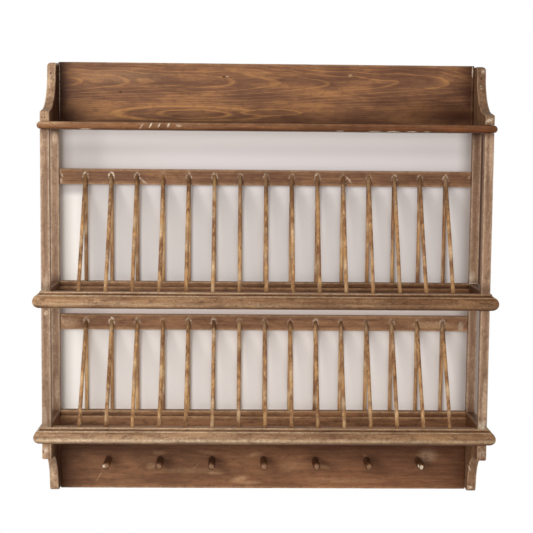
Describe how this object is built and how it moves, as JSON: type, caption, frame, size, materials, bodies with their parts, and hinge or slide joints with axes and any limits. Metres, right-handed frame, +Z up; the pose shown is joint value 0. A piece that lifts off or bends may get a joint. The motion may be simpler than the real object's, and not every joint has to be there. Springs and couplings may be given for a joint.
{
  "type": "wall plate rack",
  "caption": "Wall-hung wooden plate rack: two spindled plate tiers on moulded trays, a bullnosed top shelf with scrolled brackets and a raised back, and a peg board for mugs.",
  "frame": {"origin": "on the wall plane, at the middle of the top back board's rear face, level with the keyholes", "axes": "+X to the right seen from the front, +Y into the wall, +Z up"},
  "size_m": [0.9, 0.165, 0.8685],
  "materials": {
    "board_pine": "waxed, worn",
    "post_pine": "limed and waxed, worn",
    "moulding_pine": "waxed, worn edges",
    "tray_pine": "dark wax",
    "spindle_beech": "waxed"
  },
  "bodies": {
    "root": {"top_shelf": "board_pine", "top_back_board": "board_pine", "top_bracket_left": "board_pine", "top_bracket_right": "board_pine", "front_post_left": "post_pine", "front_post_right": "post_pine", "rear_post_left": "post_pine", "rear_post_right": "post_pine", "upper_plate_rail": "board_pine", "lower_plate_rail": "board_pine", "upper_tray_front_rail": "board_pine", "upper_tray_rear_rail": "tray_pine", "upper_tray_end_left": "tray_pine", "upper_tray_end_right": "tray_pine", "upper_tray_plate_ledge": "tray_pine", "upper_tray_front_moulding": "moulding_pine", "upper_tray_side_moulding_left": "moulding_pine", "upper_tray_side_moulding_right": "moulding_pine", "lower_tray_front_rail": "board_pine", "lower_tray_rear_rail": "tray_pine", "lower_tray_end_left": "tray_pine", "lower_tray_end_right": "tray_pine", "lower_tray_plate_ledge": "tray_pine", "lower_tray_front_moulding": "moulding_pine", "lower_tray_side_moulding_left": "moulding_pine", "lower_tray_side_moulding_right": "moulding_pine", "upper_front_spindles": "spindle_beech", "upper_rear_spindles": "spindle_beech", "lower_front_spindles": "spindle_beech", "lower_rear_spindles": "spindle_beech", "peg_board": "board_pine", "bottom_bracket_left": "board_pine", "bottom_bracket_right": "board_pine", "peg_1": "post_pine", "peg_2": "post_pine", "peg_3": "post_pine", "peg_4": "post_pine", "peg_5": "post_pine", "peg_6": "post_pine", "peg_7": "post_pine"}
  },
  "joints": []
}
